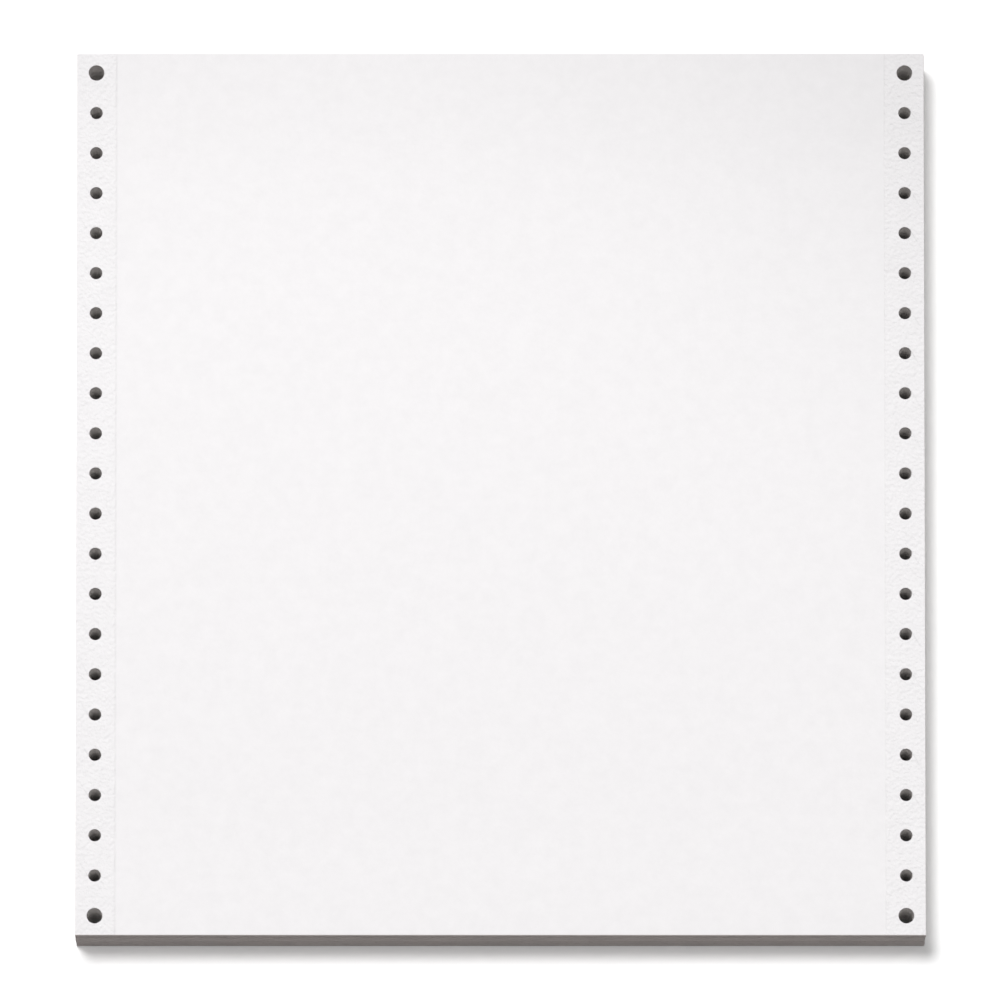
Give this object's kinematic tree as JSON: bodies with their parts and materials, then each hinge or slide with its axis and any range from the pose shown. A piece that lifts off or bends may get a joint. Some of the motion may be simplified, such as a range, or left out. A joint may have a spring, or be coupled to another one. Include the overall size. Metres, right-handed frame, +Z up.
{
  "type": "fanfold continuous form paper",
  "caption": "Pile of blank fanfold continuous form paper: one zig-zag folded web with perforated creases and a tear-off strip of round sprocket holes down each side.",
  "frame": {"origin": "middle of the underside, on the surface the pile lies on", "axes": "+Z up through the pile, +Y from the front creases to the back ones, where the web's two loose ends are, +X along the creases to the right-hand strip of holes"},
  "size_m": [0.2666, 0.2794, 0.0306],
  "materials": {
    "form_paper": "uncoated matte"
  },
  "bodies": {
    "root": {"fanfold_web": "form_paper"}
  },
  "joints": []
}
